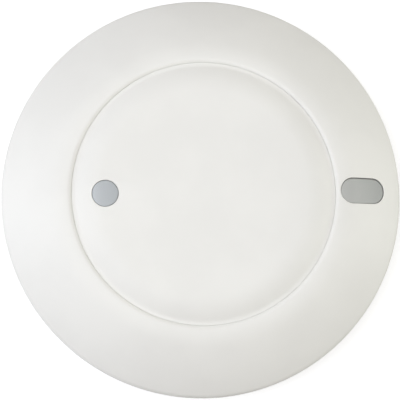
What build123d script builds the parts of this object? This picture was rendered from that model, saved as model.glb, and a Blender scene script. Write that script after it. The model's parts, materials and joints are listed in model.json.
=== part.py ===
from build123d import *
from math import asin, atan2, cos, degrees, hypot, radians, sin, sqrt
import os

# A round ceiling presence detector lying on its back: the ceiling plane is z = 0, and +Z points out of
# the front face. A plate with a wiring chamber stays on the ceiling. The head turns onto it, and holds
# one round board with a radar sensor behind the front disc. A trim ring pulls off the head.
# Lengths are in millimetres and angles in degrees.

# Gaps between pieces
join_share = 1e-6
running_gap = 0.2
fit_gap = 0.1
seam_gap = 0.08
key_gap = 0.15
window_gap = 0.08
shank_gap = 0.05
cut_gap = 1.0

# Trim ring, seen round the disc
ring_overhang_width = 5.0
ring_wall = 2.0
ceiling_gap = 1.0
side_taper_width = 0.15
rim_round_radius = 3.0
slope_round_radius = 60.0
crest_round_radius = 14.0
crest_end_angle = 22.0
crest_width = 1.0
lip_step_height = 0.6
lip_round_radius = 0.8

# Ribs and snap tabs inside the trim ring
rib_count = 12
rib_width = 1.2
rib_lift_height = 0.6
tab_count = 3
tab_width = 8.0
tab_thickness = 1.2
tab_first_angle = 30.0
bead_height = 0.8
bead_depth = 0.15
index_width = 1.6
index_depth = 0.7

# Front disc and the flange that runs out from it under the ring
seam_offset_width = 0.9
channel_width = 1.6
shoulder_width = 7.3
shoulder_angle = 27.0
middle_share = 0.5
channel_edge_radius = 0.1
cover_wall = 1.8
flange_wall = 1.4
flange_gap = 0.4
skirt_wall = 1.2
skirt_lap_height = 1.8

# Ceiling plate
plate_rim_width = 0.4
plate_thickness = 2.0
plate_chamfer_width = 0.5
pocket_depth = 0.7
pocket_count = 12
pocket_inner_radius = 42.0
pocket_outer_radius = 53.0
pocket_rib_angle = 4.0
collar_gap = 0.5
collar_wall = 2.0
collar_height = 8.4
lug_count = 3
lug_width = 1.4
lug_thickness = 1.6
lug_half_angle = 9.0
lug_inset_height = 0.2
lug_gap = 0.3
stop_angle = 3.0
screw_pitch = 60.0
screw_slot_width = 4.5
screw_slot_length = 9.0
screw_pad_rim_width = 2.0
screw_pad_height = 0.8
cable_hole_length = 26.0
cable_hole_width = 16.0
cable_hole_gap = 6.0

# Terminal block in the wiring chamber
pole_count = 4
pole_pitch = 5.0
terminal_depth = 11.0
terminal_height = 7.8
contact_run_length = 6.0
terminal_side_wall = 1.6
terminal_wall = 1.2
terminal_roof_thickness = 1.4
terminal_chamfer_width = 0.4
cradle_wall = 1.0
cradle_height = 2.4
wire_hole_radius = 1.4
wire_funnel_radius = 1.9
wire_funnel_depth = 0.7
wire_height = 2.9
pole_wall_thickness = 1.2

# Release buttons of the terminal block
button_size = 2.8
button_proud_height = 0.5
button_foot_height = 0.5
button_foot_rim_width = 0.3
button_travel_depth = 0.8
button_setback_length = 4.5
button_slot_width = 0.5
button_slot_depth = 0.3

# Strip metal in the terminal block
strip_thickness = 0.4
clamp_width = 3.0
contact_width = 1.6
contact_lift_height = 0.3
crest_length = 1.6
crest_drop_height = 0.6

# Rails in the roof of the head that the contact springs press on
rail_margin_width = 2.0
rail_pitch = 2.0
rail_width = 1.2
rail_thickness = 0.6
rail_lead_angle = 4.0
rail_trail_angle = 12.0
post_back_angle = 8.0
post_radius = 0.6
post_tip_height = 0.8
solder_radius = 1.2
solder_height = 0.6

# Head chassis
chamber_gap = 0.6
trough_width = 11.5
chassis_wall = 1.6
chamber_wall = 1.5
chassis_floor_thickness = 1.5
roof_gap = 0.4
roof_thickness = 1.2
web_angles = (0.0, 33.0, 90.0, 147.0, 170.0, 190.0, 213.0, 327.0)
web_thickness = 1.0
web_height = 3.3
peg_count = 3
peg_radius = 1.2
peg_ring_radius = 20.0

# Screws
cover_screw_count = 4
cover_screw_first_angle = 45.0
cover_screw_inset_width = 3.5
cover_boss_radius = 2.8
cover_shank_radius = 1.25
cover_shank_length = 6.5
cover_head_radius = 2.3
cover_head_height = 1.4
cover_pocket_rim_width = 0.9
cover_pocket_floor_thickness = 1.2
board_screw_angles = (60.0, 120.0, 240.0, 300.0)
board_screw_inset_width = 1.5
board_boss_radius = 2.2
board_shank_radius = 1.0
board_shank_length = 6.0
board_head_radius = 1.8
board_head_height = 1.0
drive_width = 0.5
drive_depth_share = 0.55

# Main board and the radar board above it
board_rim_gap = 2.5
board_thickness = 1.6
board_gap = 0.6
notch_gap = 0.4
radar_size = 30.0
radar_board_thickness = 1.0
radar_lift_height = 3.4
radome_gap = 3.6
header_length = 12.7
header_width = 2.5
header_inset_length = 2.0
patch_length = 2.0
patch_width = 1.6
patch_thickness = 0.05
patch_pitch = 3.2
patch_spread_share = 1.6
patch_rows = 4
patch_columns = 5
patch_shift_length = 4.5
radar_chip_size = 6.0
radar_chip_height = 0.8
radar_chip_shift_length = 7.5
radar_chip_edge_width = 0.15

# Parts on the main board, with their places as shares of its radius
can_radius = 3.15
can_height = 5.2
can_foot_size = 6.6
can_foot_height = 0.9
can_shares = ((0.36, -0.52), (0.53, -0.36), (0.62, -0.16))
coil_size = 7.3
coil_height = 4.4
coil_shares = (0.48, 0.44)
coil_dome_share = 0.42
controller_size = 9.0
controller_height = 1.2
controller_shares = (-0.47, 0.43)
radio_length = 15.0
radio_width = 11.0
radio_board_thickness = 0.8
radio_shares = (-0.43, -0.50)
radio_can_inset_length = 1.2
radio_antenna_length = 2.4
radio_can_height = 2.0
shield_length = 9.0
shield_width = 12.0
shield_height = 2.4
shield_shares = (0.62, 0.12)
leg_length = 1.0
leg_width = 0.35
leg_pitch = 0.8
leg_thickness = 0.2
edge_break_width = 0.3
corner_break_width = 0.9
passive_length = 2.0
passive_width = 1.25
passive_height = 0.8
passive_ring_share = 0.78
passive_angles = (
    26.0, 35.0, 44.0, 76.0, 88.0, 104.0, 132.0, 160.0,
    200.0, 252.0, 264.0, 276.0, 288.0, 316.0, 328.0, 340.0,
)

# Tall parts that hang under the board's rim, in the chassis trough
hanging_gap = 0.4
relay_angle = 270.0
relay_length = 15.0
relay_depth = 7.6
relay_height = 8.3
transformer_angle = 78.0
transformer_length = 8.6
transformer_depth = 8.0
transformer_height = 8.3
core_leg_width = 1.6
coil_inset_width = 0.6
coil_round_radius = 0.8
film_angle = 102.0
film_length = 13.0
film_depth = 5.0
film_height = 8.0
varistor_angle = 251.0
varistor_radius = 3.5
varistor_thickness = 3.0
varistor_round_radius = 1.0
fuse_angle = 289.0
fuse_radius = 1.6
fuse_length = 9.0
mains_can_angle = 20.0
mains_can_radius = 3.9
mains_can_length = 11.5
mains_can_round_radius = 0.6
choke_angle = 342.0
choke_radius = 3.6
choke_height = 7.5
choke_flange_thickness = 1.0
choke_winding_depth = 0.5

# Light sensor and the round window over it
window_inset_width = 1.2
window_radius = 3.95
window_depth = 0.1
window_flange_width = 0.75
window_flange_thickness = 0.8
light_guide_radius = 2.6
light_guide_gap = 0.3
photodiode_size = 2.0
photodiode_height = 0.8
shroud_radius = 4.3
shroud_wall = 1.2
shroud_clear_gap = 0.15

# Obround key on the ring, with the switch and lights under it
key_inset_width = 1.75
key_length = 14.1
key_width = 7.6
key_depth = 0.3
key_flange_width = 0.9
key_flange_end_width = 0.35
key_flange_thickness = 0.8
key_travel_depth = 0.4
stem_radius = 1.2
stem_gap = 0.05
switch_inset_width = 1.85
switch_size = 4.4
switch_height = 2.2
plunger_radius = 1.0
plunger_proud_height = 0.8
plunger_depth = 0.9
led_length = 1.6
led_width = 0.8
led_height = 0.6
led_spread_width = 3.6
led_inset_width = 1.8

# Setting dials under the ring
dial_angles = (150.0, 180.0, 210.0)
dial_inset_width = 3.1
dial_radius = 2.2
dial_thickness = 1.1
dial_slot_width = 0.7
dial_slot_depth = 0.5
dial_shaft_radius = 0.8
dial_shaft_length = 1.0
trimmer_size = 5.0
trimmer_height = 1.4
dial_hole_gap = 0.3

# Radii, from the fixing screws outwards
collar_radius = screw_pitch / 2 + screw_slot_length / 2 + screw_pad_rim_width + collar_gap + collar_wall
chamber_radius = collar_radius + lug_width + chamber_gap
trough_radius = chamber_radius + chamber_wall
chassis_radius = trough_radius + trough_width + chassis_wall
plate_radius = chassis_radius + plate_rim_width
skirt_radius = chassis_radius + running_gap + skirt_wall
ring_radius = skirt_radius + ring_overhang_width
seam_radius = collar_radius + seam_offset_width
disc_shoulder_radius = seam_radius - channel_width
disc_flat_radius = disc_shoulder_radius - shoulder_width
board_radius = chassis_radius - chassis_wall - board_rim_gap
cover_screw_ring_radius = chassis_radius - chassis_wall - cover_screw_inset_width
board_screw_ring_radius = trough_radius + board_screw_inset_width
rail_radius = collar_radius - collar_wall - rail_margin_width - (pole_count - 1) * rail_pitch
window_centre_radius = disc_flat_radius - window_inset_width
key_centre_radius = seam_radius + key_inset_width + key_length / 2
switch_centre_radius = seam_radius + key_inset_width + switch_inset_width
led_centre_radius = switch_centre_radius + led_inset_width
dial_ring_radius = seam_radius + dial_inset_width

# Places in the wiring chamber, along Y
terminal_front = rail_radius - contact_run_length - terminal_depth
button_line = terminal_front + button_setback_length
cable_hole_centre = terminal_front - cable_hole_gap - cable_hole_width / 2

# Heights, from the ceiling up through the stack
plate_top = plate_thickness
collar_top = plate_top + collar_height
roof_bottom = collar_top + roof_gap
roof_top = roof_bottom + roof_thickness
board_bottom = roof_top + board_gap
board_top = board_bottom + board_thickness
radar_bottom = board_top + radar_lift_height
radar_top = radar_bottom + radar_board_thickness
disc_inside = radar_top + radome_gap
disc_top = disc_inside + cover_wall
chassis_bottom = plate_top + running_gap
trough_top = chassis_bottom + chassis_floor_thickness

# The disc's shoulder is one arc, a hollow arc tangent to it makes the channel, and the crest follows
shoulder_radius = shoulder_width / sin(radians(shoulder_angle))
shoulder_drop = shoulder_radius * (1 - cos(radians(shoulder_angle)))
shoulder_centre_height = disc_top - shoulder_radius
channel_radius = (channel_width - channel_edge_radius) / sin(radians(shoulder_angle))
channel_height = disc_top - shoulder_drop - channel_radius * (1 - cos(radians(shoulder_angle)))
crest_height = channel_height + lip_step_height
seat_height = crest_height - ring_wall

# The ring's section is an arc at the crest, a wide one down the slope and one at the rim, all tangent
lip_radius = seam_radius + seam_gap
crest_start = lip_radius + crest_width
crest_centre = (crest_start, crest_height - crest_round_radius)
crest_turn = radians(crest_end_angle)
slope_step = slope_round_radius - crest_round_radius
slope_centre = (crest_centre[0] - slope_step * sin(crest_turn), crest_centre[1] - slope_step * cos(crest_turn))
rim_step = slope_round_radius - rim_round_radius
rim_turn = asin((ring_radius - rim_round_radius - slope_centre[0]) / rim_step)
side_top = slope_centre[1] + rim_step * cos(rim_turn)
rim_centre = (ring_radius - rim_round_radius, side_top)

# Depths below the ring's outer surface
flange_depth = ring_wall + flange_gap
flange_inside_depth = flange_depth + flange_wall
key_flange_depth = ring_wall + fit_gap
key_flange_bottom_depth = key_flange_depth + key_flange_thickness


def arc_height(centre, reach, radius):
    """Height of the top of an arc about that centre; beyond its side, the centre's own height."""
    return centre[1] + sqrt(max(reach**2 - (radius - centre[0]) ** 2, 0))


def arc_move(centre, reach, first_turn, last_turn):
    """A move along an arc about that centre, from one angle off the vertical to another."""
    turns = ((first_turn + last_turn) / 2, last_turn)
    return tuple((centre[0] + reach * sin(turn), centre[1] + reach * cos(turn)) for turn in turns)


def ring_height(depth, radius):
    """Height at one radius of the ring's outer surface moved inwards by depth."""
    crest_reach = crest_round_radius - depth
    slope_reach = slope_round_radius - depth
    if radius <= crest_start:
        return crest_height - depth
    if radius <= crest_centre[0] + crest_reach * sin(crest_turn):
        return arc_height(crest_centre, crest_reach, radius)
    if depth >= rim_round_radius or radius <= slope_centre[0] + slope_reach * sin(rim_turn):
        return arc_height(slope_centre, slope_reach, radius)
    return arc_height(rim_centre, rim_round_radius - depth, radius)


def ring_curve(depth, end_radius=None):
    """Moves that follow the ring's surface at that depth, from the crest outwards."""
    slope_reach = slope_round_radius - depth
    rim_reach = rim_round_radius - depth
    end = end_radius or ring_radius - depth
    crest = arc_move(crest_centre, crest_round_radius - depth, 0, crest_turn)
    if rim_reach <= 0 or end <= slope_centre[0] + slope_reach * sin(rim_turn):
        end_turn = asin((end - slope_centre[0]) / slope_reach)
        return [crest, arc_move(slope_centre, slope_reach, crest_turn, end_turn)]
    end_turn = asin(min((end - rim_centre[0]) / rim_reach, 1))
    slope = arc_move(slope_centre, slope_reach, crest_turn, rim_turn)
    return [crest, slope, arc_move(rim_centre, rim_reach, rim_turn, end_turn)]


def backwards(start, moves):
    """The same moves from their far end back to start."""
    corners = [start] + [move[1] if isinstance(move[0], tuple) else move for move in moves]
    back = []
    for i in range(len(moves) - 1, -1, -1):
        curved = isinstance(moves[i][0], tuple)
        back.append((moves[i][0], corners[i]) if curved else corners[i])
    return back


def section(start, *moves):
    """A face in the XZ plane. A move is a point to run straight to, or a pair: a point to pass and an end."""
    edges = []
    here = start
    for move in (*moves, start):
        curved = isinstance(move[0], tuple)
        there = move[1] if curved else move
        if hypot(there[0] - here[0], there[1] - here[1]) > join_share * ring_radius:
            first = Vector(here[0], 0, here[1])
            last = Vector(there[0], 0, there[1])
            if curved:
                edges.append(ThreePointArc(first, Vector(move[0][0], 0, move[0][1]), last))
            else:
                edges.append(Line(first, last))
            here = there
    return Face(Wire(edges))


def turned_solid(start, *moves):
    """A full turn about Z of such a section."""
    return revolve(section(start, *moves), Axis.Z)


def sector(inner, outer, bottom, top, first_angle, last_angle):
    """Part of a flat ring between two angles."""
    face = section((inner, bottom), (outer, bottom), (outer, top), (inner, top))
    return Rot(0, 0, first_angle) * revolve(face, Axis.Z, last_angle - first_angle)


def upright(radius, bottom, top):
    """A cylinder about Z."""
    return Pos(0, 0, bottom) * Cylinder(radius, top - bottom, align=(Align.CENTER, Align.CENTER, Align.MIN))


def block(length, width, bottom, top):
    """A box centred on Z."""
    return Pos(0, 0, bottom) * Box(length, width, top - bottom, align=(Align.CENTER, Align.CENTER, Align.MIN))


def obround(length, width, bottom, top):
    """A prism with round ends, long along X."""
    return Pos(0, 0, bottom) * extrude(SlotOverall(length, width), top - bottom)


def polar(radius, angle, height=0):
    return Pos(radius * cos(radians(angle)), radius * sin(radians(angle)), height)


def spread(count, first_angle=0.0):
    return [first_angle + 360.0 * i / count for i in range(count)]


def on_board(shares):
    return Pos(shares[0] * board_radius, shares[1] * board_radius, board_top)


def under_ring(depth):
    """Everything below the ring's outer surface moved inwards by depth."""
    wall = ring_radius - depth
    return turned_solid(
        (0, ceiling_gap), (wall, ceiling_gap), (wall, ring_height(depth, wall)),
        *backwards((crest_start, crest_height - depth), ring_curve(depth)), (0, crest_height - depth),
    )


def shoulder_point(depth, share):
    """Place on the disc's shoulder arc moved inwards by depth: its radius and its height."""
    reach = shoulder_radius - depth
    turn = radians(shoulder_angle) * share
    return disc_flat_radius + reach * sin(turn), shoulder_centre_height + reach * cos(turn)


def under_disc(depth):
    """Everything below the disc's outer surface moved inwards by depth, out to the end of its shoulder."""
    middle = shoulder_point(depth, middle_share)
    end = shoulder_point(depth, 1)
    return turned_solid(
        (0, board_top), (end[0], board_top), end,
        (middle, (disc_flat_radius, disc_top - depth)), (0, disc_top - depth),
    )


def strip(points, thickness, width):
    """Strip metal: a bent line in the YZ plane given a thickness, and a width along X."""
    line = Polyline(*[(y, z) for y, z in points])
    face = Plane.YZ * trace(line, thickness)
    return Pos(-width / 2, 0, 0) * extrude(face, width, dir=(1, 0, 0))


# Sizes that follow from the pieces they join
lug_clear_angle = degrees(running_gap / (collar_radius + lug_width))
terminal_length = (pole_count - 1) * pole_pitch + pole_pitch - pole_wall_thickness + 2 * terminal_side_wall
rail_bottom = roof_bottom - rail_thickness
post_gap = fit_gap
chassis_top = ring_height(flange_inside_depth, skirt_radius - skirt_wall) - fit_gap
skirt_bottom = chassis_top - skirt_lap_height
pocket_radius = cover_head_radius + running_gap + cover_pocket_rim_width
pocket_edge = cover_screw_ring_radius + cover_head_radius + running_gap
cover_boss_top = ring_height(flange_depth, pocket_edge) - cover_head_height - cover_pocket_floor_thickness
plunger_top = board_top + switch_height + plunger_proud_height
trimmer_top = board_top + trimmer_height
shroud_top = disc_inside - cover_wall - shroud_clear_gap


# Trim ring and key


def make_trim_ring():
    outside = ring_curve(0)
    inside = ring_curve(ring_wall)
    bend = lip_round_radius * (1 - sqrt(0.5))
    lip_middle = (lip_radius + bend, crest_height - bend)
    shell = turned_solid(
        (lip_radius, seat_height), (lip_radius, crest_height - lip_round_radius),
        (lip_middle, (lip_radius + lip_round_radius, crest_height)), (crest_start, crest_height), *outside,
        (ring_radius - side_taper_width, ceiling_gap), (ring_radius - ring_wall, ceiling_gap),
        (ring_radius - ring_wall, side_top), *backwards((crest_start, seat_height), inside),
    )
    within = under_ring(ring_wall / 2)
    reach = ring_radius - skirt_radius - seam_gap
    bottom = ceiling_gap + rib_lift_height
    inner = skirt_radius + running_gap
    rib = Pos(inner + reach / 2, 0, 0) * block(reach, rib_width, bottom, disc_top)
    tab = Pos(inner + tab_thickness / 2, 0, 0) * block(tab_thickness, tab_width, bottom, disc_top)
    bead_top = skirt_bottom - fit_gap
    bead = Pos(inner, 0, 0) * block(2 * bead_depth, tab_width, bead_top - bead_height, bead_top)
    tab = (tab & within) + bead
    for angle in spread(rib_count, 360.0 / rib_count / 2):
        shell += Rot(0, 0, angle) * (rib & within)
    for angle in spread(tab_count, tab_first_angle):
        shell += Rot(0, 0, angle) * tab
    index_reach = reach + index_depth
    index = polar(inner - index_depth + index_reach / 2, 180) * block(index_reach, index_width, bottom, disc_top)
    shell += index & within
    hole = obround(key_length + 2 * key_gap, key_width + 2 * key_gap, side_top, disc_top)
    return shell - Pos(key_centre_radius, 0, 0) * hole


def make_key():
    cap = Pos(key_centre_radius, 0, 0) * obround(key_length, key_width, ceiling_gap, disc_top)
    rim = Pos(key_centre_radius, 0, 0) * obround(
        key_length + 2 * key_flange_end_width, key_width + 2 * key_flange_width, ceiling_gap, disc_top
    )
    key = (cap & under_ring(key_depth)) + (rim & under_ring(key_flange_depth))
    key -= under_ring(key_flange_bottom_depth)
    stem_top = ring_height(key_flange_bottom_depth, switch_centre_radius + stem_radius) + key_flange_thickness
    return key + Pos(switch_centre_radius, 0, 0) * upright(stem_radius, plunger_top + stem_gap, stem_top)


# Ceiling plate


def make_ceiling_plate():
    plate = upright(plate_radius, 0, plate_top)
    plate = chamfer(plate.edges().group_by(Axis.Z)[0], plate_chamfer_width)
    plate += sector(collar_radius - collar_wall, collar_radius, plate_top, collar_top, 0, 360)
    lug_top = collar_top - lug_inset_height
    for angle in spread(lug_count):
        plate += sector(
            collar_radius - collar_wall / 2, collar_radius + lug_width, lug_top - lug_thickness, lug_top,
            angle - lug_half_angle, angle + lug_half_angle,
        )
        plate += sector(
            collar_radius - collar_wall / 2, collar_radius + lug_width, plate_top, lug_top,
            angle - lug_half_angle - lug_clear_angle - stop_angle, angle - lug_half_angle - lug_clear_angle,
        )
    pad_length = screw_slot_length + 2 * screw_pad_rim_width
    pad_width = screw_slot_width + 2 * screw_pad_rim_width
    pad_top = plate_top + screw_pad_height
    for side in (-1, 1):
        place = Pos(side * screw_pitch / 2, 0, 0)
        plate += place * obround(pad_length, pad_width, 0, pad_top)
        plate -= place * obround(screw_slot_length, screw_slot_width, -cut_gap, pad_top + cut_gap)
    seat_length = terminal_length + 2 * fit_gap
    seat_width = terminal_depth + 2 * fit_gap
    cradle_top = plate_top + cradle_height
    cradle_width = seat_width + 2 * cradle_wall
    cradle = block(seat_length + 2 * cradle_wall, cradle_width, plate_top, cradle_top)
    cradle -= block(seat_length, seat_width, plate_top, cradle_top + cut_gap)
    cradle -= block(terminal_length - pole_pitch, cradle_width, plate_top, cradle_top + cut_gap)
    plate += Pos(0, terminal_front + terminal_depth / 2, 0) * cradle
    cable_hole = obround(cable_hole_length, cable_hole_width, -cut_gap, plate_top + cut_gap)
    plate -= Pos(0, cable_hole_centre, 0) * cable_hole
    for angle in spread(pocket_count):
        last = angle + 360.0 / pocket_count - pocket_rib_angle
        plate -= sector(pocket_inner_radius, pocket_outer_radius, -cut_gap, pocket_depth, angle, last)
    return plate


# Terminal block


def pole_places():
    return [(i - (pole_count - 1) / 2) * pole_pitch for i in range(pole_count)]


def make_terminal_block():
    middle = terminal_front + terminal_depth / 2
    top = plate_top + terminal_height
    body = block(terminal_length, terminal_depth, plate_top, top)
    body = chamfer(body.edges().group_by(Axis.Z)[-1], terminal_chamfer_width)
    body = Pos(0, middle, 0) * body
    roof = top - terminal_roof_thickness
    cell_width = pole_pitch - pole_wall_thickness
    cell = block(cell_width, terminal_depth - 2 * terminal_wall, plate_top - cut_gap, roof)
    well_size = button_size + 2 * fit_gap
    well = block(well_size, well_size, roof - cut_gap, top + cut_gap)
    way_out_top = plate_top + contact_lift_height + strip_thickness + fit_gap
    way_out_length = 2 * (terminal_wall + cut_gap)
    way_out = block(contact_width + 2 * fit_gap, way_out_length, plate_top - cut_gap, way_out_top)
    for x in pole_places():
        face = Pos(x, terminal_front, plate_top + wire_height) * Rot(-90, 0, 0)
        body -= Pos(x, middle, 0) * cell
        body -= face * Cylinder(wire_hole_radius, 2 * terminal_wall + cut_gap)
        funnel = Cone(wire_funnel_radius, wire_hole_radius, wire_funnel_depth)
        body -= face * Pos(0, 0, wire_funnel_depth / 2) * funnel
        body -= Pos(x, button_line, 0) * well
        body -= Pos(x, terminal_front + terminal_depth, 0) * way_out
    return body


def make_release_button(x):
    roof = plate_top + terminal_height - terminal_roof_thickness
    top = plate_top + terminal_height + button_proud_height
    head = block(button_size, button_size, roof - button_foot_height, top)
    head = chamfer(head.edges().group_by(Axis.Z)[-1], button_foot_rim_width)
    foot_size = button_size + 2 * button_foot_rim_width
    foot_top = roof - fit_gap
    button = head + block(foot_size, foot_size, foot_top - button_foot_height, foot_top)
    groove = block(button_size + cut_gap, button_slot_width, top - button_slot_depth, top + cut_gap)
    return Pos(x, button_line, 0) * (button - groove)


def make_clamp_springs():
    rear = terminal_front + terminal_depth - terminal_wall - strip_thickness
    low = plate_top + contact_lift_height + strip_thickness * 3 / 2
    high = plate_top + terminal_height - terminal_roof_thickness - strip_thickness
    pinch = plate_top + wire_height - strip_thickness
    middle = button_line + button_size / 2
    arm_height = high - button_travel_depth - button_foot_height - strip_thickness
    shoulder = rear - 2 * strip_thickness
    points = [(rear, low), (rear, high), (shoulder, high), (middle, arm_height), (button_line, pinch)]
    spring = strip(points, strip_thickness, clamp_width)
    return Compound(children=[Pos(x, 0, 0) * spring for x in pole_places()])


def contact_points(i):
    """Where the crest of contact spring i lies: its place along Y, and its angle about Z."""
    x = pole_places()[i]
    radius = rail_radius + i * rail_pitch
    y = sqrt(radius**2 - x**2)
    return y, degrees(atan2(y, x))


def make_contact_springs():
    flat = plate_top + contact_lift_height + strip_thickness / 2
    crest = rail_bottom - stem_gap - strip_thickness / 2
    start = terminal_front + terminal_wall + strip_thickness
    bend = terminal_front + terminal_depth + strip_thickness
    springs = []
    for i, x in enumerate(pole_places()):
        y = contact_points(i)[0]
        points = [
            (start, flat), (bend, flat), (y - crest_length / 2, crest - crest_drop_height / 2),
            (y - crest_length / 4, crest), (y + crest_length / 4, crest),
            (y + crest_length / 2, crest - crest_drop_height),
        ]
        springs.append(Pos(x, 0, 0) * strip(points, strip_thickness, contact_width))
    return Compound(children=springs)


def post_place(i):
    return polar(rail_radius + i * rail_pitch, contact_points(i)[1] - post_back_angle)


def make_contact_rails():
    rails = []
    for i in range(pole_count):
        radius = rail_radius + i * rail_pitch
        angle = contact_points(i)[1]
        rail = sector(
            radius - rail_width / 2, radius + rail_width / 2, rail_bottom, roof_bottom,
            angle - rail_trail_angle, angle + rail_lead_angle,
        )
        rails.append(rail + post_place(i) * upright(post_radius, rail_bottom, board_top + post_tip_height))
    return Compound(children=rails)


def make_solder_joints():
    joints = []
    hole_radius = post_radius + post_gap
    cone = Pos(0, 0, board_top + solder_height / 2) * Cone(solder_radius, hole_radius, solder_height)
    joint = cone - upright(hole_radius, board_bottom, radar_top)
    for i in range(pole_count):
        joints.append(post_place(i) * joint)
    return Compound(children=joints)


# Head chassis


def make_chassis():
    inner = chassis_radius - chassis_wall
    body = turned_solid(
        (0, roof_bottom), (chamber_radius, roof_bottom), (chamber_radius, chassis_bottom),
        (chassis_radius, chassis_bottom), (chassis_radius, chassis_top), (inner, chassis_top),
        (inner, trough_top), (trough_radius, trough_top), (trough_radius, roof_top), (0, roof_top),
    )
    lug_top = collar_top - lug_inset_height - lug_thickness - lug_gap
    for angle in spread(lug_count):
        body += sector(
            collar_radius + lug_gap, chamber_radius + chamber_wall / 2, lug_top - lug_thickness, lug_top,
            angle - lug_half_angle, angle + lug_half_angle,
        )
    web_length = inner - trough_radius + chassis_wall
    web = polar(trough_radius - chamber_wall / 2 + web_length / 2, 0)
    web = web * block(web_length, web_thickness, chassis_bottom, trough_top + web_height)
    for angle in web_angles:
        body += Rot(0, 0, angle) * web
    for angle in spread(cover_screw_count, cover_screw_first_angle):
        place = polar(cover_screw_ring_radius, angle)
        body += place * upright(cover_boss_radius, chassis_bottom, cover_boss_top)
        bore_bottom = cover_boss_top + cover_pocket_floor_thickness - cover_shank_length - fit_gap
        body -= place * upright(cover_shank_radius + shank_gap, bore_bottom, cover_boss_top + cut_gap)
    for angle in board_screw_angles:
        place = polar(board_screw_ring_radius, angle)
        body += place * upright(board_boss_radius, chassis_bottom, board_bottom)
        bore_bottom = board_top - board_shank_length - fit_gap
        body -= place * upright(board_shank_radius + shank_gap, bore_bottom, board_bottom + cut_gap)
    body -= sector(0, chamber_radius, plate_top - cut_gap, lug_top - lug_thickness, 0, 360)
    for angle in spread(peg_count):
        body += polar(peg_ring_radius, angle) * upright(peg_radius, roof_bottom, board_bottom)
    for i in range(pole_count):
        hole = upright(post_radius + shank_gap, roof_bottom - cut_gap, roof_top + cut_gap)
        body -= post_place(i) * hole
    return body


# Front cover


def make_front_cover():
    outer_middle = shoulder_point(0, middle_share)
    inner_middle = shoulder_point(cover_wall, middle_share)
    inner_end = shoulder_point(cover_wall, 1)
    bend = channel_edge_radius * (1 - sqrt(0.5))
    channel_end = seam_radius - channel_edge_radius
    half_turn = radians(shoulder_angle) * middle_share
    channel_middle = (
        channel_end - channel_radius * sin(half_turn), channel_height + channel_radius * (1 - cos(half_turn))
    )
    skirt_inner = skirt_radius - skirt_wall
    step_inner = seam_radius - flange_wall
    inside_start = (crest_start, crest_height - flange_inside_depth)
    cover = turned_solid(
        (0, disc_top), (disc_flat_radius, disc_top),
        (outer_middle, (disc_shoulder_radius, disc_top - shoulder_drop)),
        (channel_middle, (channel_end, channel_height)),
        ((seam_radius - bend, channel_height - bend), (seam_radius, channel_height - channel_edge_radius)),
        (seam_radius, seat_height), (crest_start, seat_height), (crest_start, crest_height - flange_depth),
        *ring_curve(flange_depth, skirt_radius), (skirt_radius, skirt_bottom), (skirt_inner, skirt_bottom),
        (skirt_inner, ring_height(flange_inside_depth, skirt_inner)),
        *backwards(inside_start, ring_curve(flange_inside_depth, skirt_inner)),
        (step_inner, crest_height - flange_inside_depth), (step_inner, inner_end[1]), inner_end,
        (inner_middle, (disc_flat_radius, disc_inside)), (0, disc_inside),
    )
    within = under_ring(flange_depth + flange_wall / 2)
    pocket_bottom = cover_boss_top
    pocket_floor = pocket_bottom + cover_pocket_floor_thickness
    for angle in spread(cover_screw_count, cover_screw_first_angle):
        place = polar(cover_screw_ring_radius, angle)
        cover += (place * upright(pocket_radius, pocket_bottom, disc_top)) & within
        cover -= place * upright(pocket_radius - cover_pocket_rim_width, pocket_floor, disc_top)
        cover -= place * upright(cover_shank_radius + shank_gap, pocket_bottom - cut_gap, disc_top)
    for angle in dial_angles:
        cover -= polar(dial_ring_radius, angle) * upright(dial_radius + dial_hole_gap, board_top, disc_top)
    opening_length = key_length + 2 * (key_flange_end_width + running_gap)
    opening_width = key_width + 2 * (key_flange_width + running_gap)
    opening_end = key_centre_radius + opening_length / 2
    opening_bottom = ring_height(key_flange_bottom_depth, opening_end) - key_travel_depth - running_gap
    cover -= Pos(key_centre_radius, 0, 0) * obround(opening_length, opening_width, opening_bottom, disc_top)
    window_hole = upright(window_radius + window_gap, radar_bottom, disc_top + cut_gap)
    cover -= polar(window_centre_radius, 180) * window_hole
    notch_depth = index_depth + running_gap
    notch = block(2 * notch_depth, index_width + 2 * running_gap, skirt_bottom - cut_gap, disc_top)
    return cover - polar(skirt_radius, 180) * notch


def make_window():
    place = polar(window_centre_radius, 180)
    cap = place * upright(window_radius, disc_inside - cover_wall, disc_top)
    cap = cap & under_disc(window_depth)
    top_depth = cover_wall + fit_gap / 2
    flange = place * upright(window_radius + window_flange_width, board_top, disc_top)
    flange = flange & (under_disc(top_depth) - under_disc(top_depth + window_flange_thickness))
    guide_bottom = board_top + photodiode_height + light_guide_gap
    return cap + flange + place * upright(light_guide_radius, guide_bottom, disc_inside)


def make_light_shroud():
    tube = upright(shroud_radius, board_top, shroud_top)
    tube -= upright(shroud_radius - shroud_wall, board_top, disc_top)
    return polar(window_centre_radius, 180) * tube


def make_photodiode():
    place = polar(window_centre_radius, 180)
    return place * block(photodiode_size, photodiode_size, board_top, board_top + photodiode_height)


# Boards


def make_main_board():
    board = upright(board_radius, board_bottom, board_top)
    for angle in board_screw_angles:
        board -= polar(board_screw_ring_radius, angle) * upright(board_shank_radius + fit_gap, 0, disc_top)
    for angle in spread(cover_screw_count, cover_screw_first_angle):
        board -= polar(cover_screw_ring_radius, angle) * upright(pocket_radius + notch_gap, 0, disc_top)
    for i in range(pole_count):
        board -= post_place(i) * upright(post_radius + post_gap, 0, disc_top)
    return board


def make_radar_board():
    board = block(radar_size, radar_size, radar_bottom, radar_top)
    return fillet(board.edges().filter_by(Axis.Z), header_width / 2)


def make_radar_headers():
    headers = []
    for side in (-1, 1):
        place = Pos(0, side * (radar_size / 2 - header_inset_length), 0)
        headers.append(place * block(header_length, header_width, board_top, radar_bottom))
    return Compound(children=headers)


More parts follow.
